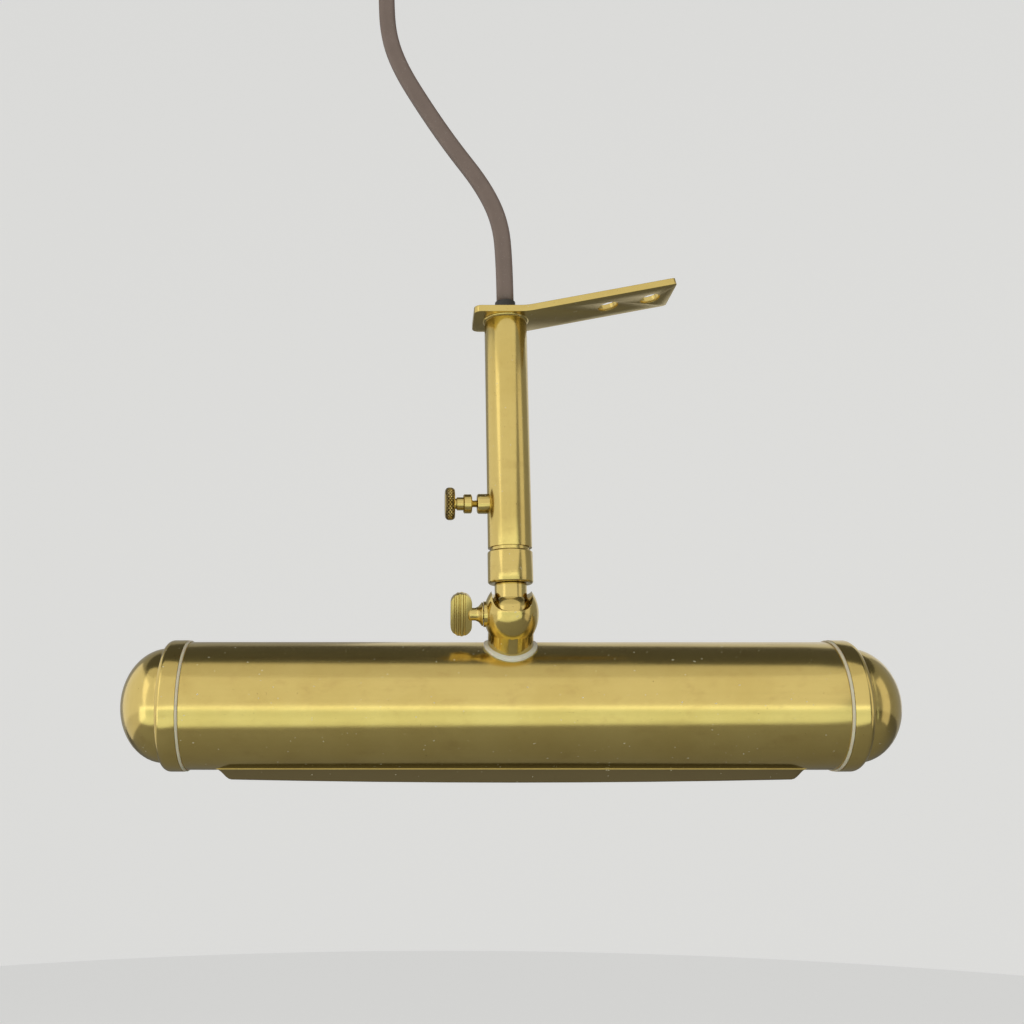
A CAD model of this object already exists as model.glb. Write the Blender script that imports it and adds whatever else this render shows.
import math

import bmesh
import bpy
from mathutils import Matrix, Vector


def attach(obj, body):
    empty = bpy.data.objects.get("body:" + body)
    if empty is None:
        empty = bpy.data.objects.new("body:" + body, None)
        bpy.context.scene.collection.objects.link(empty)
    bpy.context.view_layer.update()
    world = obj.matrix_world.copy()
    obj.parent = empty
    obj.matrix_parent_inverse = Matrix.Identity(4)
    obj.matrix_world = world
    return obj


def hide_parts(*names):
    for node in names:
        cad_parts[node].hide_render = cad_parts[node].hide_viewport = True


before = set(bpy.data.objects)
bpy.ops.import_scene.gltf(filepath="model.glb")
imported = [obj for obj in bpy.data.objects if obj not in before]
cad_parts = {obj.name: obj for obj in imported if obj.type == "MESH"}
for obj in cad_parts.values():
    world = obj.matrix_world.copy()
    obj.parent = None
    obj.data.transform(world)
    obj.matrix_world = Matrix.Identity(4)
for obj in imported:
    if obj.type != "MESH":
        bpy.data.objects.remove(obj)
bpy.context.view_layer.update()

# The camera stands a little below the shade and to its left, as for the photograph, and looks up
# at the bracket. The part's origin is on the bracket's arm, so all places are counted from there.
camera_data = bpy.data.cameras.new("photograph")
camera_data.sensor_width = 36.0
camera_data.lens = 38.62
camera_data.shift_x = 0.0942
camera = bpy.data.objects.new("photograph", camera_data)
camera.location = (-0.0881931, -0.42516, -0.1900767)
QUARTER_TURN = math.radians(90)
LOOKS_UP = math.radians(12.99)
camera.rotation_euler = (QUARTER_TURN + LOOKS_UP, 0, 0)
bpy.context.collection.objects.link(camera)
bpy.context.scene.camera = camera
bpy.context.scene.view_settings.view_transform = "Standard"

# A plain pale room: a floor well under the hanging lamp, a round pale wall that the camera, the
# brass and the glass all see, soft boxes in front and at the sides, and a dim ceiling, which makes
# the dark band along the top of the shade.
BLUE_SHARE = 0.985


def room_paper(sheet, name, colour, glow, in_metal):
    """Pale paper that looks lit to the camera and through glass, and by a share of that in metal."""
    sheet.name = name
    paper = bpy.data.materials.new(name)
    paper.use_nodes = True
    tree = paper.node_tree
    surface = tree.nodes["Principled BSDF"]
    surface.inputs["Base Color"].default_value = (colour, colour, colour * BLUE_SHARE, 1)
    surface.inputs["Roughness"].default_value = 0.9
    rays = tree.nodes.new("ShaderNodeLightPath")
    seen = rays.outputs["Is Camera Ray"]
    for kind, share in (("Is Transmission Ray", 1.0), ("Is Glossy Ray", in_metal)):
        dimmed = tree.nodes.new("ShaderNodeMath")
        dimmed.operation = "MULTIPLY"
        dimmed.inputs[1].default_value = share
        tree.links.new(rays.outputs[kind], dimmed.inputs[0])
        either = tree.nodes.new("ShaderNodeMath")
        either.operation = "MAXIMUM"
        tree.links.new(seen, either.inputs[0])
        tree.links.new(dimmed.outputs[0], either.inputs[1])
        seen = either.outputs[0]
    tree.links.new(seen, surface.inputs["Emission Strength"])
    surface.inputs["Emission Color"].default_value = (glow, glow, glow * BLUE_SHARE, 1)
    sheet.data.materials.append(paper)


def soft_box(name, wide, high, watts, place, aim, tint):
    """A soft light of that width and height, turned to shine on its aim."""
    lamp_data = bpy.data.lights.new(name, "AREA")
    lamp_data.shape = "RECTANGLE"
    lamp_data.size = wide
    lamp_data.size_y = high
    lamp_data.energy = watts
    lamp_data.color = tint
    lamp = bpy.data.objects.new(name, lamp_data)
    lamp.location = place
    lamp.rotation_euler = (Vector(aim) - Vector(place)).to_track_quat("-Z", "Y").to_euler()
    bpy.context.collection.objects.link(lamp)


bpy.ops.object.select_all(action="DESELECT")
bpy.ops.mesh.primitive_plane_add(size=12.0, location=(0, 0, -0.75))
room_paper(bpy.context.active_object, "floor", colour=0.38, glow=0.60, in_metal=0.12)
bpy.ops.object.select_all(action="DESELECT")
bpy.ops.mesh.primitive_cylinder_add(
    vertices=96, radius=3.2, depth=4.0, end_fill_type="NOTHING", location=(0, 0, 1.25)
)
bpy.ops.object.shade_smooth()
room_paper(bpy.context.active_object, "backdrop", colour=0.38, glow=0.66, in_metal=0.45)
LAMP_MIDDLE = (-0.05, 0.0, -0.1)
soft_box("front_box", 2.4, 2.1, 11.0, (-0.20, -0.90, 0.46), LAMP_MIDDLE, (1.0, 0.965, 0.86))
soft_box("low_box", 1.9, 0.46, 2.8, (-0.20, -0.66, -0.44), (-0.05, 0.0, -0.16), (0.90, 1.0, 0.86))
soft_box("left_box", 1.9, 1.6, 6.4, (-1.15, -0.05, -0.05), LAMP_MIDDLE, (1.0, 0.965, 0.90))
soft_box("right_box", 0.5, 1.3, 1.3, (1.00, -0.42, -0.05), LAMP_MIDDLE, (1.0, 0.93, 0.82))
soft_box("back_box", 1.4, 1.4, 2.6, (0.5, 1.3, 0.5), LAMP_MIDDLE, (1.0, 1.0, 1.0))
world = bpy.data.worlds.new("ceiling")
world.use_nodes = True
world.node_tree.nodes["Background"].inputs["Color"].default_value = (0.30, 0.30, 0.29, 1)
world.node_tree.nodes["Background"].inputs["Strength"].default_value = 0.35
bpy.context.scene.world = world

# The bracket is a strip of sheet brass, sheared to length, bent up by eleven degrees and pierced
# for the cord and two screws, with the tubes' satin lacquer and soft edges. This section also holds
# the tools that the next ones use. STEM is the stem's axis, at the height of the ball's middle.
STEM = Matrix.Translation((-0.0509831, 0.0, -0.1327667))


class Grain:
    """One value of a finish. Sums with it add their Math nodes."""

    def __init__(self, finish, socket):
        self.finish = finish
        self.socket = socket

    def maths(self, operation, first, second):
        return self.finish.node("ShaderNodeMath", {"operation": operation}, {0: first, 1: second})

    def __add__(self, other):
        return self.maths("ADD", self, other)

    __radd__ = __add__

    def __sub__(self, other):
        return self.maths("SUBTRACT", self, other)

    def __rsub__(self, other):
        return self.maths("SUBTRACT", other, self)

    def __mul__(self, other):
        return self.maths("MULTIPLY", self, other)

    __rmul__ = __mul__

    def __pow__(self, other):
        return self.maths("POWER", self, other)


class Finish:
    """A material built from nodes on the piece's own coordinates, in metres."""

    def __init__(self, name):
        self.material = bpy.data.materials.new(name)
        self.material.use_nodes = True
        self.tree = self.material.node_tree
        self.shader = self.tree.nodes["Principled BSDF"]
        self.place = self.node("ShaderNodeTexCoord", {}, {}, "Object")

    def node(self, kind, settings, inputs, output=0):
        made = self.tree.nodes.new(kind)
        for setting, value in settings.items():
            setattr(made, setting, value)
        for name, value in inputs.items():
            if isinstance(value, Grain):
                self.tree.links.new(value.socket, made.inputs[name])
            else:
                made.inputs[name].default_value = value
        return Grain(self, made.outputs[output])

    def noise(self, scale, detail=2.0, roughness=0.5, at=None):
        """Noise from 0 to 1, its scale along X, Y and Z in features for each metre."""
        stretched = self.node("ShaderNodeMapping", {}, {"Vector": at or self.place, "Scale": scale})
        inputs = {"Vector": stretched, "Scale": 1.0, "Detail": detail, "Roughness": roughness}
        return self.node("ShaderNodeTexNoise", {}, inputs)

    def between(self, value, low, high):
        """0 below low and 1 above high, with a soft step."""
        settings = {"interpolation_type": "SMOOTHSTEP", "clamp": True}
        inputs = {"Value": value, "From Min": low, "From Max": high}
        return self.node("ShaderNodeMapRange", settings, inputs)

    def mix(self, share, first, second):
        """A colour between two."""
        settings = {"data_type": "RGBA", "clamp_factor": True}
        return self.node("ShaderNodeMix", settings, {0: share, 6: first, 7: second}, 2)

    def dent(self, height, strength, distance):
        """A bump from a height, for the shader's Normal."""
        inputs = {"Height": height, "Strength": strength, "Distance": distance}
        return self.node("ShaderNodeBump", {}, inputs)

    def set(self, **inputs):
        """Sets sockets of the shader. An underscore in a name stands for a space."""
        for name, value in inputs.items():
            socket = self.shader.inputs[name.replace("_", " ")]
            if isinstance(value, Grain):
                self.tree.links.new(value.socket, socket)
            else:
                socket.default_value = value
        return self


LINES_ACROSS = 5200.0
LINES_ALONG = 26.0
WIDER = 0.16
BRIGHT_BRASS = (0.620, 0.485, 0.175, 1)
DULL_BRASS = (0.575, 0.440, 0.150, 1)
TARNISH = (0.47, 0.33, 0.115, 1)
BRUSHED_DARK = (0.50, 0.38, 0.12, 1)
OLD_POLISH = (0.062, 0.050, 0.030, 1)
KNURL_DIRT = (0.085, 0.055, 0.025, 1)
SPECK = (0.16, 0.10, 0.04, 1)
DUST = (0.78, 0.74, 0.60, 1)


def satin_brass(name, along, rubbed=0.0, turned=None, unturn=0.0, lips_on=None, knurled=False):
    """Lacquered brass, brushed along an axis, or round it where the piece was turned on a lathe about
    a place, with the tilt taken out by unturn. Where the shade's place is given as lips_on, what
    stands off its tube is dark with old polish."""
    brass = Finish(name)
    if turned is None:
        scale = tuple(LINES_ALONG if axis == along else LINES_ACROSS for axis in "XYZ")
        lines = brass.noise(scale, 3.0, 0.6)
        wide_lines = brass.noise(tuple(c * WIDER for c in scale), 2.0)
    else:
        inputs = {"Vector": brass.place, "Location": -turned.translation}
        local = brass.node("ShaderNodeMapping", {"vector_type": "POINT"}, inputs)
        inputs = {"Vector": local, "Angle": unturn}
        local = brass.node("ShaderNodeVectorRotate", {"rotation_type": "X_AXIS"}, inputs)
        split = brass.node("ShaderNodeSeparateXYZ", {}, {"Vector": local}, "X")
        parts = {axis: Grain(brass, split.socket.node.outputs[axis]) for axis in "XYZ"}
        across = [parts[axis] for axis in "XYZ" if axis != along]
        radius = (across[0] * across[0] + across[1] * across[1]) ** 0.5
        inputs = {"X": parts[along], "Y": radius, "Z": 0.0}
        rings = brass.node("ShaderNodeCombineXYZ", {}, inputs)
        lines = brass.noise((LINES_ACROSS, LINES_ACROSS, 0.0), 3.0, 0.6, rings)
        wide_across = LINES_ACROSS * WIDER
        wide_lines = brass.noise((wide_across, wide_across, 0.0), 2.0, 0.5, rings)
    clouds = brass.noise((38.0, 38.0, 38.0), 4.0, 0.6)
    tarnish = brass.between(brass.noise((90.0, 140.0, 140.0), 5.0, 0.65), 0.50, 0.78)
    specks = brass.between(brass.noise((1500.0, 1500.0, 1500.0), 1.0), 0.765, 0.80)
    dust = brass.between(brass.noise((620.0, 1300.0, 1300.0), 1.0), 0.775, 0.79)
    smears = brass.between(brass.noise((60.0, 210.0, 210.0), 3.0, 0.7), 0.52, 0.72)
    colour = brass.mix(brass.between(clouds, 0.3, 0.7), BRIGHT_BRASS, DULL_BRASS)
    colour = brass.mix(tarnish * 0.40, colour, TARNISH)
    colour = brass.mix((wide_lines - 0.35) * 0.30, colour, BRUSHED_DARK)
    if lips_on is not None:
        axis_at = (0.0, -lips_on.translation.y, -lips_on.translation.z)
        inputs = {"Vector": brass.place, "Location": axis_at, "Scale": (0.0, 1.0, 1.0)}
        off_axis = brass.node("ShaderNodeMapping", {"vector_type": "POINT"}, inputs)
        distance = brass.node("ShaderNodeVectorMath", {"operation": "LENGTH"}, {0: off_axis}, 1)
        polish = brass.between(distance, 0.02503, 0.02535)
        colour = brass.mix(polish * 0.94, colour, OLD_POLISH)
        rubbed = polish * 0.12 + rubbed
    if knurled:
        height = 0.0 - parts[along]
        over_knurl = brass.between(height, 0.0218, 0.0222) * brass.between(radius, 0.0056, 0.0058)
        valleys = over_knurl * (1.0 - brass.between(radius, 0.00618, 0.00648))
        colour = brass.mix(valleys * 0.9, colour, KNURL_DIRT)
    colour = brass.mix(specks * 0.75, colour, SPECK)
    colour = brass.mix(dust * 0.9, colour, DUST)
    roughness = rubbed + 0.15 + lines * 0.08 + smears * 0.05 + specks * 0.2 + dust * 0.4
    bumps = brass.dent(lines + wide_lines * 0.6, 0.055, 0.00005)
    brass.set(Base_Color=colour, Metallic=1.0 - dust * 0.9, Roughness=roughness, Normal=bumps)
    return brass


def take(piece):
    """Selects one piece alone."""
    bpy.ops.object.select_all(action="DESELECT")
    piece.select_set(True)
    bpy.context.view_layer.objects.active = piece


def into_place(piece, name, place):
    """Names a piece and leaves it at the origin, with its place in its mesh."""
    piece.name = name
    piece.data.name = name
    piece.matrix_world = place @ piece.matrix_world
    take(piece)
    bpy.ops.object.transform_apply(location=True, rotation=True, scale=True)
    return piece


def modify(piece, kind, **settings):
    """Adds a modifier to the piece and applies it."""
    modifier = piece.modifiers.new(kind.lower(), kind)
    for name, value in settings.items():
        setattr(modifier, name, value)
    take(piece)
    bpy.ops.object.modifier_apply(modifier=modifier.name)
    return piece


def soften(piece, width, segments=2, sharper_than=32):
    """Rubs the sharp edges round and shades the rest smooth."""
    sharp = math.radians(sharper_than)
    if width:
        modify(
            piece, "BEVEL", width=width, segments=segments, limit_method="ANGLE", angle_limit=sharp,
            use_clamp_overlap=True, miter_outer="MITER_ARC",
        )
    take(piece)
    bpy.ops.object.shade_smooth_by_angle(angle=sharp)
    return piece


def edit(piece):
    """Opens a piece in edit mode with nothing selected."""
    take(piece)
    bpy.ops.object.mode_set(mode="EDIT")
    bpy.ops.mesh.select_all(action="DESELECT")


def choose(piece, kind, test):
    """Selects the vertices, edges or faces of the piece in edit mode whose middle passes a test."""
    bpy.ops.mesh.select_mode(type=kind)
    bpy.ops.mesh.select_all(action="DESELECT")
    mesh = bmesh.from_edit_mesh(piece.data)
    members = {"VERT": mesh.verts, "EDGE": mesh.edges, "FACE": mesh.faces}[kind]
    for member in members:
        if kind == "VERT":
            middle = member.co
        elif kind == "EDGE":
            middle = (member.verts[0].co + member.verts[1].co) / 2
        else:
            middle = member.calc_center_median()
        if test(middle):
            member.select_set(True)
    mesh.select_flush_mode()
    bmesh.update_edit_mesh(piece.data)


def close_up(piece):
    """Joins doubles, turns the faces outwards and leaves edit mode."""
    if piece.mode != "EDIT":
        edit(piece)
    bpy.ops.mesh.select_all(action="SELECT")
    bpy.ops.mesh.remove_doubles(threshold=0.000002)
    bpy.ops.mesh.normals_make_consistent(inside=False)
    bpy.ops.object.mode_set(mode="OBJECT")
    return piece


def outwards(skin, way):
    """Turns an open skin's faces so that the one furthest along a direction looks that way."""
    furthest = max(skin.data.polygons, key=lambda face: face.center.dot(way))
    if furthest.normal.dot(way) < 0:
        edit(skin)
        bpy.ops.mesh.select_all(action="SELECT")
        bpy.ops.mesh.flip_normals()
        bpy.ops.object.mode_set(mode="OBJECT")


def cut_away(piece, cutter, operation="DIFFERENCE"):
    """Cuts the piece with another solid and removes that solid."""
    modify(piece, "BOOLEAN", object=cutter, operation=operation, solver="EXACT")
    bpy.data.objects.remove(cutter)
    return piece


def rod(radius, length, place, sides=96):
    """A plain round cutter about the Z axis of its place, from 0 up to its length."""
    bpy.ops.object.select_all(action="DESELECT")
    middle = (0, 0, length / 2)
    bpy.ops.mesh.primitive_cylinder_add(vertices=sides, radius=radius, depth=length, location=middle)
    return into_place(bpy.context.active_object, "cutter", place)


def fit_out(piece, body, finish, slot, *nodes):
    """Gives a piece its finish, its body and the solids that it stands for."""
    piece.data.materials.clear()
    piece.data.materials.append(finish.material)
    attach(piece, body)
    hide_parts(*nodes)
    return piece


UP = Vector((0, 0, 1))
STRIP_WIDTH = 0.022
STRIP_LEFT = -0.0134
STRIP_UNDERSIDE = 0.1215
STRIP_THICKNESS = 0.0028
ARM_BEND = math.radians(11.1)
ARM_CORNER = Vector((0.0081, 0, STRIP_UNDERSIDE))
ARM_LENGTH = 0.0623
BEND_RADIUS = 0.0298
BEND_STEPS = 6
SCREW_HOLES_AT = (0.0353, 0.0532)
SCREW_HOLE_RADIUS = 0.0042
CORD_HOLE_RADIUS = 0.0048
DRILL_LENGTH = 0.010
DRILL_BELOW = 0.003
bend_tangent = BEND_RADIUS * math.tan(ARM_BEND / 2)
bend_centre = ARM_CORNER + Vector((-bend_tangent, 0, BEND_RADIUS))
arm_way = Vector((math.cos(ARM_BEND), 0, math.sin(ARM_BEND)))
arm_up = Vector((-math.sin(ARM_BEND), 0, math.cos(ARM_BEND)))


def on_bend(turned):
    """The place on the strip's underside that far round its bend."""
    return bend_centre + Vector((math.sin(turned), 0, -math.cos(turned))) * BEND_RADIUS


bpy.ops.object.select_all(action="DESELECT")
strip_middle = (STRIP_LEFT + STRIP_WIDTH / 2, 0, STRIP_UNDERSIDE)
bpy.ops.mesh.primitive_plane_add(size=STRIP_WIDTH, location=strip_middle)
strip = into_place(bpy.context.active_object, "bracket_strip", Matrix())
edit(strip)
choose(strip, "VERT", lambda v: v.x > 0)
bpy.ops.transform.translate(value=(bend_centre.x - STRIP_LEFT - STRIP_WIDTH, 0, 0))
choose(strip, "EDGE", lambda v: (v - on_bend(0)).length < 0.0001)
for step in range(BEND_STEPS):
    moved = on_bend(ARM_BEND * (step + 1) / BEND_STEPS) - on_bend(ARM_BEND * step / BEND_STEPS)
    bpy.ops.mesh.extrude_region_move(TRANSFORM_OT_translate={"value": moved})
straight_arm = arm_way * (ARM_LENGTH - bend_tangent)
bpy.ops.mesh.extrude_region_move(TRANSFORM_OT_translate={"value": straight_arm})
choose(strip, "VERT", lambda v: v.x < STRIP_LEFT + 0.0001)
bpy.ops.mesh.bevel(offset=0.0030, segments=8, affect="VERTICES")
choose(strip, "VERT", lambda v: v.x > 0.055)
bpy.ops.mesh.bevel(offset=0.0014, segments=6, affect="VERTICES")
close_up(strip)
outwards(strip, UP)
modify(strip, "SOLIDIFY", thickness=STRIP_THICKNESS, offset=1.0, use_even_offset=True)
arm_turn = Matrix.Rotation(-ARM_BEND, 4, "Y")
for hole_at in SCREW_HOLES_AT:
    drill = Matrix.Translation(ARM_CORNER + arm_way * hole_at - arm_up * DRILL_BELOW) @ arm_turn
    cut_away(strip, rod(SCREW_HOLE_RADIUS, DRILL_LENGTH, drill, 72))
drill = Matrix.Translation((0, 0, STRIP_UNDERSIDE - DRILL_BELOW))
cut_away(strip, rod(CORD_HOLE_RADIUS, DRILL_LENGTH, drill, 72))
soften(strip, 0.00028, 3, 28)
into_place(strip, "bracket_strip", STEM)
strip_brass = satin_brass("strip_brass", "X", 0.03)
fit_out(strip, "bracket", strip_brass, "brass", "mounting_bracket")

# The outer tube is drawn brass tube, brazed square under the strip. Its lower end is faced off, and
# the braze shows as a thin bright bead. The tube's finish is brushed along its length.


def lathe(name, outline, place, sides=128):
    """A circle extruded from one (height, radius) of an outline to the next, about the place's Z axis.
    An end at radius 0 is drawn to a point, and an outline that ends where it began makes a ring."""
    bpy.ops.object.select_all(action="DESELECT")
    height, radius = outline[0]
    bpy.ops.mesh.primitive_circle_add(vertices=sides, radius=radius, location=(0, 0, height))
    piece = bpy.context.active_object
    bpy.ops.object.transform_apply(location=True, rotation=False, scale=False)
    bpy.ops.object.mode_set(mode="EDIT")
    bpy.ops.mesh.select_mode(type="VERT")
    bpy.ops.mesh.select_all(action="SELECT")
    for next_height, next_radius in outline[1:]:
        rise = (0, 0, next_height - height)
        bpy.ops.mesh.extrude_region_move(TRANSFORM_OT_translate={"value": rise})
        if next_radius:
            share = next_radius / radius
            bpy.ops.transform.resize(value=(share, share, 1), center_override=(0, 0, next_height))
            radius = next_radius
        else:
            bpy.ops.mesh.merge(type="CENTER")
        height = next_height
    close_up(piece)
    return into_place(piece, name, place)


def plain_tube(bottom, top, bore, radius):
    """The outline of a plain tube."""
    return [(bottom, bore), (bottom, radius), (top, radius), (top, bore), (bottom, bore)]


outer_tube = lathe("outer_tube_brass", plain_tube(0.0260, 0.1218, 0.0076, 0.0087), STEM)
soften(outer_tube, 0.00018)
stem_brass = satin_brass("stem_brass", "Z")
fit_out(outer_tube, "bracket", stem_brass, "brass", "outer_tube")
bead_outline = [
    (0.1207, 0.00865), (0.1209, 0.00905), (0.1213, 0.00935), (0.1216, 0.0095), (0.1216, 0.00865),
    (0.1207, 0.00865),
]
bead = lathe("braze_ring", bead_outline, STEM)
soften(bead, 0)
fit_out(bead, "bracket", stem_brass, "brass", "braze_bead")

# The clamp boss is a short turned stud, brazed to the tube's left side and tapped for the
# thumbscrew. The thumbscrew is turned from bar: a screw, a collar, a hub, and a head with a diamond
# knurl rolled into its rounded rim.
THUMB_HEIGHT = 0.0441
THUMB = STEM @ Matrix.Translation((0, 0, THUMB_HEIGHT)) @ Matrix.Rotation(-QUARTER_TURN, 4, "Y")
turned_thumb = satin_brass("turned_brass_thumb", "X", turned=THUMB, knurled=True)
boss_outline = [
    (0.0078, 0.0015), (0.0078, 0.0040), (0.0121, 0.0040), (0.0125, 0.0038), (0.0128, 0.0033),
    (0.0128, 0.0015), (0.0078, 0.0015),
]
boss = lathe("thumb_boss", boss_outline, THUMB, 72)
soften(boss, 0.0001)
fit_out(boss, "bracket", turned_thumb, "brass", "clamp_boss")


def screw_thread(start, end, radius, pitch, depth):
    """The rings of a fine thread, as an outline."""
    points = []
    count = int((end - start) / pitch)
    for turn in range(count):
        points.append((start + turn * pitch, radius - depth))
        points.append((start + (turn + 0.5) * pitch, radius))
    return points


def join(kept, joined):
    """Makes the second piece a part of the first."""
    take(kept)
    joined.select_set(True)
    bpy.ops.object.join()


def stop_holes(piece, closing=bpy.ops.mesh.fill):
    """Closes the open ends of a piece."""
    edit(piece)
    bpy.ops.mesh.select_mode(type="EDGE")
    bpy.ops.mesh.select_non_manifold()
    closing()
    close_up(piece)


shank = screw_thread(0.0092, 0.0147, 0.00148, 0.0005, 0.00028)
thumb_outline = [(0.0089, 0.0008)] + shank + [
    (0.0148, 0.0014), (0.0148, 0.0034), (0.0152, 0.00385), (0.0178, 0.00385), (0.0182, 0.0034),
    (0.0182, 0.00265), (0.0207, 0.00265), (0.0209, 0.0024), (0.0210, 0.0021), (0.0216, 0.0021),
    (0.0216, 0.0058), (0.0218, 0.00605),
]
thumb_screw = lathe("thumb_screw_shank", thumb_outline, Matrix(), 72)
KNURL_START = 0.0218
KNURL_HEIGHT = 0.0034
KNURL_ROWS = 6
KNURL_COLUMNS = 48
KNURL_RAISED = 1.07
rim = []
for row in range(KNURL_ROWS + 1):
    share = row / KNURL_ROWS
    rounded = 0.00580 + 0.00042 * math.sin(math.pi * share)
    rim.append((KNURL_START + KNURL_HEIGHT * share, rounded))
rim += [(0.0254, 0.0055), (0.0255, 0.0050), (0.02555, 0.0044), (0.0255, 0.0038), (0.0255, 0.0)]
head = lathe("thumb_head", rim, Matrix(), KNURL_COLUMNS)
edit(head)


def knurl_peak(v):
    """Every second crossing of the rim's rows and columns stands up as the point of a diamond."""
    if not 0.0219 < v.z < 0.0251:
        return False
    row = round((v.z - KNURL_START) / KNURL_HEIGHT * KNURL_ROWS)
    column = round(math.atan2(v.y, v.x) / (2 * math.pi) * KNURL_COLUMNS)
    return (row + column) % 2 == 0


choose(head, "VERT", knurl_peak)
bpy.ops.transform.resize(value=(KNURL_RAISED, KNURL_RAISED, 1), center_override=(0, 0, 0.0235))
bpy.ops.mesh.select_all(action="SELECT")
bpy.ops.mesh.quads_convert_to_tris(quad_method="SHORTEST_DIAGONAL")
bpy.ops.object.mode_set(mode="OBJECT")
join(thumb_screw, head)
close_up(thumb_screw)
stop_holes(thumb_screw)
soften(thumb_screw, 0, 1, 14)
into_place(thumb_screw, "thumb_screw_brass", THUMB)
fit_out(thumb_screw, "thumb_screw", turned_thumb, "brass_screw", "thumb_screw")

# The inner tube slides in the outer one, and its foot is soldered into a turned collar. The ball
# stem, bored for the cord, is peened over inside the collar, where it can turn.
inner_tube = lathe("inner_tube_brass", plain_tube(0.0185, 0.1000, 0.00655, 0.00755), STEM)
soften(inner_tube, 0.00015)
fit_out(inner_tube, "slider", stem_brass, "brass", "inner_tube")
turned_stem = satin_brass("turned_brass_stem", "Z", -0.02, turned=STEM)
collar_outline = [
    (0.0119, 0.00556), (0.0119, 0.00835), (0.0122, 0.00868), (0.0126, 0.00888), (0.0240, 0.00888),
    (0.0244, 0.00872), (0.02475, 0.0083), (0.02475, 0.0076), (0.0185, 0.0076), (0.0185, 0.00556),
    (0.0119, 0.00556),
]
collar = lathe("collar_brass", collar_outline, STEM)
soften(collar, 0.00012)
fit_out(collar, "slider", turned_stem, "brass", "coupling_collar")


def arc(height, radius, high, wide, start, end, steps):
    """Points of an arc in an outline, its angles in degrees from straight up the axis."""
    points = []
    for step in range(steps + 1):
        angle = math.radians(start + (end - start) * step / steps)
        points.append((height + high * math.cos(angle), radius + wide * math.sin(angle)))
    return points


BALL_RADIUS = 0.00868
ball_outline = [(-0.0080, 0.0040)] + arc(0, 0, BALL_RADIUS, BALL_RADIUS, 151, 47.6, 14)
ball_outline += [
    (0.0062, 0.0063), (0.0116, 0.0063), (0.0118, 0.0061), (0.0118, 0.0055), (0.01855, 0.0055),
    (0.01855, 0.0062), (0.0193, 0.0062), (0.01945, 0.0060), (0.01945, 0.0040), (-0.0080, 0.0040),
]
ball = lathe("ball_stem_brass", ball_outline, STEM)
soften(ball, 0.0001)
fit_out(ball, "ball", turned_stem, "brass", "ball_stem")

# The swivel cup is turned from solid brass, bored to a round seat for the ball and milled across
# for its neck, and its foot is cut to the shade's curve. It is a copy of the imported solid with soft
# edges, and leans by TILT, as all that hangs from it does.
TILT = math.radians(27.5)
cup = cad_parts["swivel_cup"].copy()
cup.data = cup.data.copy()
bpy.context.collection.objects.link(cup)
cup.name = "swivel_cup_brass"
cup.data.name = "swivel_cup_brass"
edit(cup)
bpy.ops.mesh.select_all(action="SELECT")
bpy.ops.mesh.remove_doubles(threshold=0.00001)
bpy.ops.mesh.dissolve_limited(angle_limit=math.radians(1.0))
close_up(cup)
soften(cup, 0.00022, 3, 30)
turned_cup = satin_brass("turned_brass_cup", "Z", -0.03, turned=STEM, unturn=-TILT)
fit_out(cup, "head", turned_cup, "brass", "swivel_cup")

# The wing screw is cast brass with three grooves down each side of its wing. It turns in the cup's
# left side and presses a soft pad on the ball.
HEAD = STEM @ Matrix.Rotation(TILT, 4, "X")
WING = HEAD @ Matrix.Rotation(-QUARTER_TURN, 4, "Y")
PADDLE_END = 0.00445
PADDLE_AT = 0.01945
GROOVE_PITCH = 0.0017
GROOVES_MOVED = 0.0006
bpy.ops.object.select_all(action="DESELECT")
bpy.ops.mesh.primitive_cylinder_add(
    vertices=64, radius=0.00415, depth=0.0032, location=(PADDLE_END, 0, 0),
    rotation=(QUARTER_TURN, 0, 0),
)
paddle = into_place(bpy.context.active_object, "paddle", Matrix())
edit(paddle)
choose(paddle, "VERT", lambda v: v.x < PADDLE_END)
bpy.ops.transform.translate(value=(-2 * PADDLE_END, 0, 0))
close_up(paddle)
into_place(paddle, "paddle", Matrix.Translation((0, 0, PADDLE_AT)))
lie_along = Matrix.Rotation(QUARTER_TURN, 4, "Y")
for number in (-1, 0, 1):
    for side in (-1, 1):
        height = PADDLE_AT + number * GROOVE_PITCH + GROOVES_MOVED
        groove = Matrix.Translation((-0.0095, side * 0.0016, height)) @ lie_along
        cut_away(paddle, rod(0.00050, 0.019, groove, 16))
soften(paddle, 0.00035, 3, 40)
wing_shank = screw_thread(0.0096, 0.0110, 0.0019, 0.0007, 0.0003)
wing_outline = [(0.0094, 0.0010)] + wing_shank + [
    (0.01105, 0.0018), (0.01105, 0.0044), (0.0112, 0.0047), (0.0115, 0.0046), (0.0120, 0.0039),
    (0.0128, 0.0030), (0.0140, 0.0025), (0.0152, 0.0025), (0.0160, 0.0027), (0.0166, 0.0022),
    (0.0170, 0.0012), (0.0171, 0.0),
]
wing = lathe("wing", wing_outline, Matrix(), 64)
stop_holes(wing)
soften(wing, 0.0001, 2, 30)
join(wing, paddle)
into_place(wing, "wing_screw_brass", WING)
cast_brass = satin_brass("cast_brass", "Z", 0.06)
fit_out(wing, "wing_screw", cast_brass, "brass_screw", "wing_screw")

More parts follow.
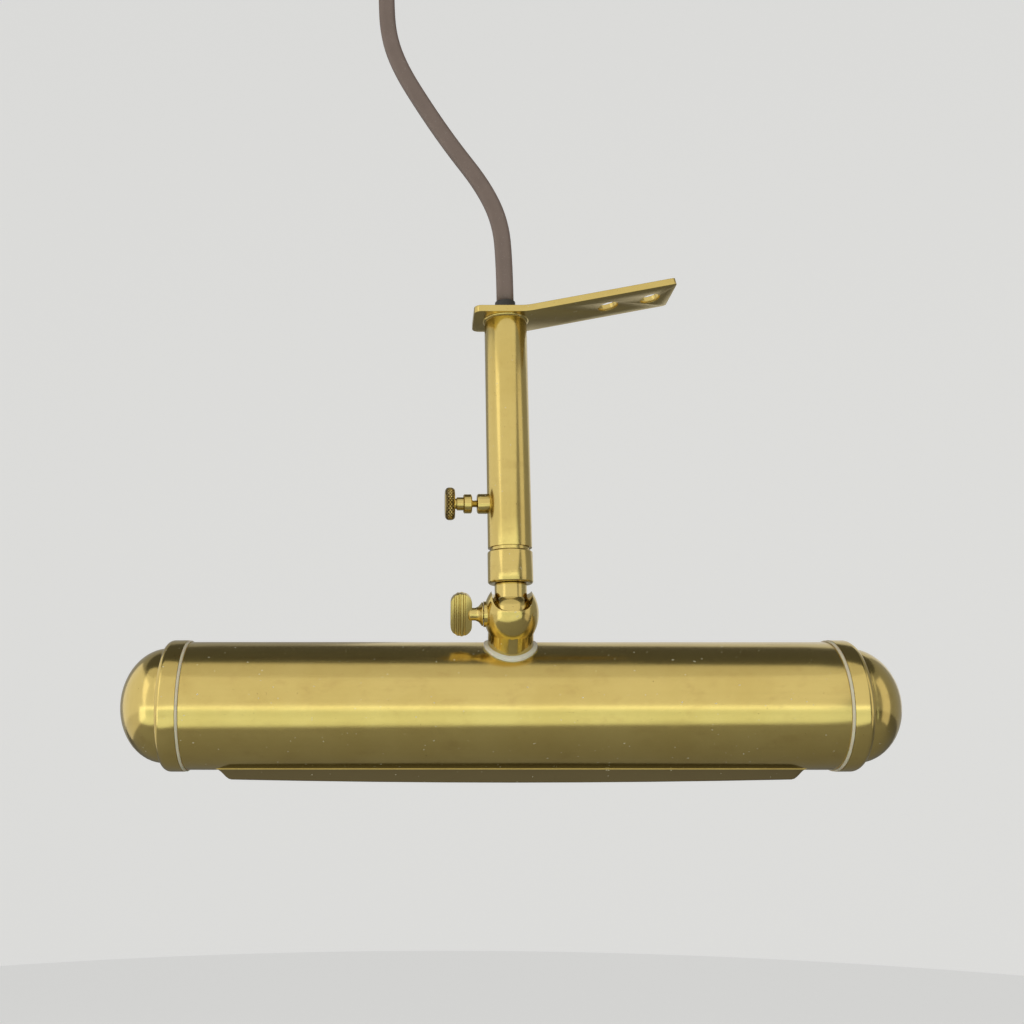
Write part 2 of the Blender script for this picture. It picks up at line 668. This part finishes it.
# The saddle washer is white nylon, moulded to sit between the cup's round foot and the tube. It has
# gone slightly yellow.
SHADE_DROP = 0.03835
SHADE = HEAD @ Matrix.Translation((0, 0, -SHADE_DROP)) @ Matrix.Rotation(QUARTER_TURN, 4, "Y")
across_shade = Matrix.Translation((-0.05, 0, -SHADE_DROP)) @ Matrix.Rotation(QUARTER_TURN, 4, "Y")
washer = lathe("washer", plain_tube(-0.0330, -0.0090, 0.00505, 0.0105), Matrix())
cut_away(washer, rod(0.02605, 0.1, across_shade, 256), "INTERSECT")
cut_away(washer, rod(0.02505, 0.1, across_shade, 256))
soften(washer, 0.00018, 2, 35)
into_place(washer, "saddle_washer_nylon", HEAD)


def nylon(name, colour, shade):
    """Moulded nylon, a little cloudy, with light passing just under its skin."""
    made = Finish(name)
    cloud = made.noise((260.0, 260.0, 260.0), 3.0)
    grime = made.between(made.noise((700.0, 700.0, 700.0), 4.0, 0.7), 0.56, 0.80)
    tone = made.mix(cloud, colour, shade)
    made.set(Base_Color=made.mix(grime * 0.45, tone, (0.42, 0.37, 0.27, 1)))
    made.set(Roughness=0.42 + cloud * 0.12, Normal=made.dent(cloud, 0.08, 0.0001))
    made.set(Subsurface_Weight=0.08, Subsurface_Scale=0.001)
    return made


white_nylon = nylon("white_nylon", (0.80, 0.79, 0.74, 1), (0.70, 0.68, 0.60, 1))
fit_out(washer, "head", white_nylon, "white_nylon", "saddle_washer")

# The shade is a brass tube with a window cut along its underside. The window's long edges are
# folded outwards as narrow lips, a little deeper at the middle and run out to nothing at the ends.
SHADE_RADIUS = 0.025
SHADE_WALL = 0.0008
WINDOW_END = 0.115
WINDOW_HALF_ANGLE = 38.3
LIP_STARTS = SHADE_RADIUS * 1.02
LIP_RUNS_OUT = 0.1085
stations = [0.0, 0.027, 0.054, 0.081, 0.100, LIP_RUNS_OUT]
stations += [0.1096, 0.1107, 0.1118, 0.1129, 0.1140, WINDOW_END]
bpy.ops.object.select_all(action="DESELECT")
bpy.ops.mesh.primitive_cylinder_add(
    vertices=188, radius=SHADE_RADIUS, depth=0.265, end_fill_type="NOTHING"
)
shade = into_place(bpy.context.active_object, "shade", Matrix())
edit(shade)
for station in stations:
    for side in (-1, 1):
        bpy.ops.mesh.select_all(action="SELECT")
        bpy.ops.mesh.bisect(plane_co=(0, 0, side * station), plane_no=(0, 0, 1))


def from_window_middle(v):
    """Degrees round the tube from the middle of the window, which faces the local +X side."""
    return abs(math.degrees(math.atan2(v.y, v.x)))


def along_window(v):
    return abs(v.z) < WINDOW_END


def at_window_edge(v):
    return along_window(v) and abs(from_window_middle(v) - WINDOW_HALF_ANGLE) < 0.2


choose(shade, "FACE", lambda v: along_window(v) and from_window_middle(v) < WINDOW_HALF_ANGLE)
bpy.ops.mesh.delete(type="FACE")
choose(shade, "EDGE", at_window_edge)
bpy.ops.mesh.extrude_region_move()
started = LIP_STARTS / SHADE_RADIUS
bpy.ops.transform.resize(value=(started, started, 1), center_override=(0, 0, 0))


def lip_height(at):
    """How far the lip stands out, at a distance from the middle of the window."""
    if at <= LIP_RUNS_OUT:
        return 0.0052 - 0.0012 * (at / LIP_RUNS_OUT) ** 2
    share = (at - LIP_RUNS_OUT) / (WINDOW_END - LIP_RUNS_OUT)
    return 0.0040 * (0.5 + 0.5 * math.cos(math.pi * min(1.0, share)))


for station in stations:
    choose(shade, "VERT", lambda v: abs(abs(v.z) - station) < 0.0002 and v.xy.length > 0.0253)
    share = (SHADE_RADIUS + lip_height(station)) / LIP_STARTS
    bpy.ops.transform.resize(value=(share, share, 1), center_override=(0, 0, 0))
close_up(shade)
outwards(shade, Vector((-1, 0, 0)))
modify(
    shade, "SOLIDIFY", thickness=SHADE_WALL, offset=-1.0, use_even_offset=True,
    use_quality_normals=True,
)
drill = Matrix.Rotation(-QUARTER_TURN, 4, "Y") @ Matrix.Translation((0, 0, 0.015))
cut_away(shade, rod(0.00505, 0.03, drill, 64))
soften(shade, 0.0002, 3, 26)
into_place(shade, "shade_tube_brass", SHADE)
shade_brass = satin_brass("shade_brass", "X", lips_on=SHADE)
fit_out(shade, "head", shade_brass, "brass", "shade_tube")

# Each end cap is spun from sheet brass: a skirt that pushes over the tube, a rounded shoulder, a
# crease and an oval dome. A pale nylon ring sits between its skirt and the tube. ENDS holds the
# places of the two ends, their Z axes pointing out of the shade.
ENDS = (("left", SHADE @ Matrix.Rotation(2 * QUARTER_TURN, 4, "X")), ("right", SHADE))
CREASE = (0.1356, 0.0225)
DOME_HEIGHT = 0.0181
CAP_WALL = 0.0006
cream_nylon = nylon("cream_nylon", (0.78, 0.72, 0.58, 1), (0.66, 0.58, 0.43, 1))
spun_brass = satin_brass("spun_brass", "X", -0.03, turned=SHADE)
ring_outline = [
    (0.12665, 0.02505), (0.12665, 0.0254), (0.1268, 0.0256), (0.1276, 0.0256), (0.1277, 0.0254),
    (0.1277, 0.02505), (0.12665, 0.02505),
]
for word, end in ENDS:
    cap_outline = [(0.12775, 0.0251), (0.12775, 0.0257), (0.1330, 0.0257)]
    cap_outline += arc(0.1330, 0.0227, 0.0030, 0.0030, 82, 34, 4) + [CREASE]
    cap_outline += arc(CREASE[0], 0, DOME_HEIGHT, CREASE[1], 90, 0, 17)[1:-1]
    cap_outline.append((CREASE[0] + DOME_HEIGHT, 0.0))
    cap = lathe("cap_" + word, cap_outline, Matrix(), 160)
    outwards(cap, UP)
    modify(cap, "SOLIDIFY", thickness=CAP_WALL, offset=-1.0, use_even_offset=True)
    soften(cap, 0.00012, 2, 28)
    into_place(cap, "end_cap_brass_" + word, end)
    fit_out(cap, "head", spun_brass, "brass", "end_cap_" + word)
    ring = lathe("ring_" + word, ring_outline, end, 160)
    soften(ring, 0, 1, 60)
    fit_out(ring, "head", cream_nylon, "cream_nylon", "cap_ring_" + word)

# Inside the shade a steel rail carries two moulded lamp holders with threaded brass shells. The
# tubular bulbs are clear glass with a thin filament on two wires.


def mottled(name, grain, detail, light, dark, gloss, uneven, dents=0.0, metallic=0.0, rough=0.5):
    """Two near tones in a fine grain, which makes the gloss uneven and, by dents, the surface."""
    made = Finish(name)
    cloud = made.noise((grain, grain, grain), detail, rough)
    made.set(Base_Color=made.mix(cloud, (*light, 1), (*dark, 1)), Metallic=metallic)
    made.set(Roughness=gloss + cloud * uneven)
    if dents:
        made.set(Normal=made.dent(cloud, dents, 0.0001))
    return made


STEEL_LIGHT, STEEL_DARK = (0.52, 0.52, 0.50), (0.40, 0.39, 0.36)
steel = mottled("zinc_steel", 300.0, 4.0, STEEL_LIGHT, STEEL_DARK, 0.30, 0.18, 0.06, 1.0, 0.65)
BLACK_DEEP, BLACK_DUSTY = (0.020, 0.018, 0.016), (0.045, 0.038, 0.032)
phenolic = mottled(
    "black_phenolic", 900.0, 4.0, BLACK_DEEP, BLACK_DUSTY, 0.34, 0.2, dents=0.1, rough=0.6
)
WIRE_LIGHT, WIRE_DARK = (0.30, 0.29, 0.27), (0.20, 0.19, 0.18)
wire = mottled("filament_wire", 2000.0, 2.0, WIRE_LIGHT, WIRE_DARK, 0.35, 0.2, metallic=1.0)
LEAD_LIGHT, LEAD_DARK = (0.62, 0.59, 0.50), (0.50, 0.46, 0.38)
lead_cover = mottled("lead_cover", 800.0, 3.0, LEAD_LIGHT, LEAD_DARK, 0.5, 0.2)
glass = Finish("bulb_glass")
glass_dust = glass.between(glass.noise((200.0, 200.0, 200.0), 4.0, 0.7), 0.5, 0.8)
glass.set(Base_Color=glass.mix(glass_dust * 0.5, (0.97, 0.98, 0.97, 1), (0.88, 0.87, 0.82, 1)))
glass.set(Roughness=0.02 + glass_dust * 0.08, Transmission_Weight=1.0, IOR=1.45)
soft_nylon = nylon("pad_nylon", (0.78, 0.77, 0.72, 1), (0.68, 0.66, 0.58, 1))


def finish_solid(node, finish):
    """A solid whose own shape is right keeps it and gets a finish."""
    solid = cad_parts[node]
    solid.data.materials.clear()
    solid.data.materials.append(finish.material)


for node in ("lock_nut", "socket_rail", "holder_rivet_left", "holder_rivet_right", "switch_screws"):
    finish_solid(node, steel)
for node in ("hollow_nipple", "inner_saddle"):
    finish_solid(node, turned_cup)
for node in ("thumb_pad", "wing_pad"):
    finish_solid(node, soft_nylon)
holder_outline = [
    (0.01105, 0.00165), (0.01105, 0.0108), (0.0114, 0.0115), (0.01205, 0.0118), (0.0245, 0.0118),
    (0.0252, 0.0114), (0.0260, 0.0104), (0.0400, 0.0104), (0.0408, 0.0101), (0.04105, 0.0096),
    (0.04105, 0.00815), (0.01605, 0.00815), (0.01605, 0.00165), (0.01105, 0.00165),
]
base_outline = [(0.02055, 0.0032), (0.0215, 0.0052), (0.0230, 0.00715)]
base_outline += screw_thread(0.0236, 0.0400, 0.00725, 0.0028, 0.0005)
base_outline += [(0.0400, 0.0071), (0.0408, 0.0072), (0.04255, 0.0072), (0.04255, 0.0)]
BULB_RADIUS = 0.0125
BULB_SHOULDER = 0.0936
BULB_TIP = 0.00995
bulb_outline = [
    (0.0426, 0.0072), (0.0440, 0.0074), (0.0458, 0.0084), (0.0474, 0.0103), (0.0490, 0.0118),
    (0.0505, 0.0124), (0.0520, BULB_RADIUS), (BULB_SHOULDER, BULB_RADIUS),
]
bulb_outline += arc(BULB_SHOULDER, 0, BULB_TIP, BULB_RADIUS, 90, 0, 10)[1:-1]
bulb_outline.append((BULB_SHOULDER + BULB_TIP, 0.0))
for word, end in ENDS:
    finish_solid("bulb_filament_" + word, wire)
    finish_solid("lead_wires_" + word, lead_cover)
    holder = lathe("holder_" + word, holder_outline, end, 96)
    soften(holder, 0.00015)
    fit_out(holder, "head", phenolic, "phenolic", "lamp_holder_" + word)
    shell = lathe("shell_" + word, plain_tube(0.01725, 0.0405, 0.0073, 0.0081), end, 96)
    soften(shell, 0.00012)
    fit_out(shell, "head", spun_brass, "brass_screw", "contact_shell_" + word)
    base = lathe("base_" + word, base_outline, Matrix(), 96)
    stop_holes(base, bpy.ops.mesh.edge_face_add)
    soften(base, 0, 1, 50)
    into_place(base, "bulb_base_brass_" + word, end)
    fit_out(base, "head", spun_brass, "brass_screw", "bulb_base_" + word)
    bulb = lathe("glass_" + word, bulb_outline, Matrix(), 96)
    outwards(bulb, UP)
    modify(bulb, "SOLIDIFY", thickness=0.0008, offset=-1.0, use_even_offset=True)
    soften(bulb, 0, 1, 40)
    into_place(bulb, "bulb_glass_clear_" + word, end)
    fit_out(bulb, "head", glass, "glass", "bulb_glass_" + word)

# A black plastic grommet lines the hole in the strip. The cord is flat brown two-core lead: it
# rises from the grommet, leans left, and goes on to its switch, a neat coil and a plug.
BLACK_CLEAN, BLACK_SCUFFED = (0.016, 0.016, 0.016), (0.035, 0.034, 0.032)
black_plastic = mottled("black_plastic", 1200.0, 3.0, BLACK_CLEAN, BLACK_SCUFFED, 0.38, 0.2, 0.08)
finish_solid("cord_grommet", black_plastic)
finish_solid("coil_tie", black_plastic)

CORD_WIDTH = 0.0071
CORD_THICKNESS = 0.0042
CORD_EXIT = (0.0, 0.1298)
rise = [
    CORD_EXIT, (0.0, 0.1480), (-0.0013, 0.1666), (-0.0085, 0.1834), (-0.0216, 0.2019),
    (-0.0332, 0.2207), (-0.0441, 0.2403), (-0.0493, 0.2568), (-0.0502, 0.2760), (-0.0502, 0.2940),
    (-0.0502, 0.3250), (-0.0502, 0.3560), (-0.0502, 0.3780), (-0.0502, 0.3929),
]
route = [Vector((x, 0, z)) for x, z in rise]
COIL_PITCH = 0.0088
COIL_OUTER = 0.0520
COIL_INNER = COIL_OUTER - COIL_PITCH * 2.5
COIL_LAYER = 0.0076
TURNS_IN = 2.5
TURNS_OUT_FROM = 3.0
TURNS = 5.5
POINTS_PER_TURN = 16
coil_centre = Vector((-0.0502 - COIL_OUTER, 0, 0.4000))
swell = 1 / math.cos(math.pi / POINTS_PER_TURN)
for number in range(1, int(TURNS * POINTS_PER_TURN)):
    turn = number / POINTS_PER_TURN
    share = min(1.0, max(0.0, (turn - TURNS_IN) / (TURNS_OUT_FROM - TURNS_IN)))
    radius = COIL_INNER
    if turn < TURNS_IN:
        radius = COIL_OUTER - COIL_PITCH * turn
    if turn > TURNS_OUT_FROM:
        radius = COIL_INNER + COIL_PITCH * (turn - TURNS_OUT_FROM)
    angle = 2 * math.pi * turn
    depth = COIL_LAYER * (1 - math.cos(math.pi * share)) / 2
    around_coil = Vector((radius * math.cos(angle), 0, radius * math.sin(angle)))
    route.append(coil_centre + around_coil * swell + Vector((0, depth, 0)))
coil_end = coil_centre + Vector((-COIL_OUTER, COIL_LAYER, 0))
route += [coil_end, coil_end - Vector((0, 0, 0.0125)), coil_end - Vector((0, 0, 0.0251))]
route = [STEM @ point for point in route]
line_data = bpy.data.curves.new("cord_line", "CURVE")
line_data.dimensions = "3D"
line_data.resolution_u = 6
spline = line_data.splines.new("NURBS")
spline.points.add(len(route) - 1)
for control, point in zip(spline.points, route):
    control.co = (*point, 1.0)
spline.use_endpoint_u = True
spline.order_u = 3
spline.resolution_u = 6
line = bpy.data.objects.new("cord_line", line_data)
bpy.context.collection.objects.link(line)
bpy.context.view_layer.update()
evaluated = line.evaluated_get(bpy.context.evaluated_depsgraph_get())
line_mesh = bpy.data.meshes.new_from_object(evaluated)
path = [v.co.copy() for v in line_mesh.vertices]
bpy.data.objects.remove(line)
bpy.data.meshes.remove(line_mesh)
gone = [0.0]
for before, after in zip(path, path[1:]):
    gone.append(gone[-1] + (after - before).length)
cord_length = gone[-1]


def rounded(value, power):
    """A sine or cosine made fuller, its sign kept, so that the section has flat sides."""
    return math.copysign(abs(value) ** power, value)


SECTION_POINTS = 28
WAIST_DEPTH = 0.14
WAIST_WIDTH = 0.0009
section = []
for number in range(SECTION_POINTS):
    angle = 2 * math.pi * number / SECTION_POINTS
    wide = CORD_WIDTH / 2 * rounded(math.cos(angle), 0.75)
    waist = 1 - WAIST_DEPTH * math.exp(-((wide / WAIST_WIDTH) ** 2))
    section.append((wide, CORD_THICKNESS / 2 * rounded(math.sin(angle), 0.62) * waist))
cord_mesh = bpy.data.meshes.new("flat_cord")
cord = bpy.data.objects.new("flat_cord", cord_mesh)
bpy.context.collection.objects.link(cord)
build = bmesh.new()
around = build.loops.layers.uv.new("along")
rings = []


def smooth_step(value, low, high):
    """0 below low and 1 above high, with a soft step."""
    share = min(1.0, max(0.0, (value - low) / (high - low)))
    return share * share * (3 - 2 * share)


# Before the coil the cord turns a quarter about itself, and it turns back before the plug.
link_height = (STEM @ Vector((0, 0, 0.356))).z
link_start = next(g for g, p in zip(gone, path) if p.z > link_height)
for index, point in enumerate(path):
    before = path[max(0, index - 1)]
    after = path[min(len(path) - 1, index + 1)]
    way = (after - before).normalized()
    wide_way = way.cross(Vector((0, 1, 0))).normalized()
    flat_way = wide_way.cross(way).normalized()
    turned_over = smooth_step(gone[index], link_start, link_start + 0.045)
    turned_back = smooth_step(gone[index], cord_length - 0.06, cord_length - 0.012)
    twist = Matrix.Rotation(QUARTER_TURN * (turned_over - turned_back), 3, way)
    wide_way = twist @ wide_way
    flat_way = twist @ flat_way
    rings.append([build.verts.new(point + wide_way * w + flat_way * t) for w, t in section])
for index, (low, high) in enumerate(zip(rings, rings[1:])):
    for number in range(SECTION_POINTS):
        next_number = (number + 1) % SECTION_POINTS
        corners = (low[number], low[next_number], high[next_number], high[number])
        face = build.faces.new(corners)
        face.smooth = True
        here, there = gone[index], gone[index + 1]
        places = ((number, here), (number + 1, here), (number + 1, there), (number, there))
        for loop, (u, v) in zip(face.loops, places):
            loop[around].uv = (u / SECTION_POINTS, v * 20)
build.faces.new(reversed(rings[0]))
build.faces.new(rings[-1])
bmesh.ops.recalc_face_normals(build, faces=build.faces)
build.to_mesh(cord_mesh)
build.free()
cord_cover = Finish("brown_cord_cover")
scuffs = cord_cover.between(cord_cover.noise((900.0, 900.0, 900.0), 3.0, 0.7), 0.60, 0.72)
cord_cloud = cord_cover.noise((120.0, 120.0, 120.0), 4.0, 0.6)
cord_colour = cord_cover.mix(cord_cloud, (0.225, 0.165, 0.148, 1), (0.170, 0.124, 0.110, 1))
cord_cover.set(Base_Color=cord_cover.mix(scuffs * 0.4, cord_colour, (0.34, 0.30, 0.28, 1)))
cord_cover.set(Roughness=0.33 + cord_cloud * 0.16)
cord_cover.set(Normal=cord_cover.dent(cord_cloud + scuffs, 0.15, 0.0002))
fit_out(cord, "bracket", cord_cover, "brown_pvc", "cord_rise", "cord_link", "cord_coil", "cord_tail")
finish_solid("cord_in_stem", cord_cover)

# The in-line switch is a brown moulded case in two halves with a rocker. The moulded plug has two
# flat brass blades.
BROWN_LIGHT, BROWN_DARK = (0.075, 0.046, 0.033), (0.060, 0.036, 0.026)
brown_plastic = mottled(
    "brown_moulded_plastic", 1500.0, 3.0, BROWN_LIGHT, BROWN_DARK, 0.26, 0.16, dents=0.1
)
for node in ("switch_case_front", "switch_case_back", "switch_rocker", "plug_body"):
    finish_solid(node, brown_plastic)
finish_solid("plug_blades", turned_stem)
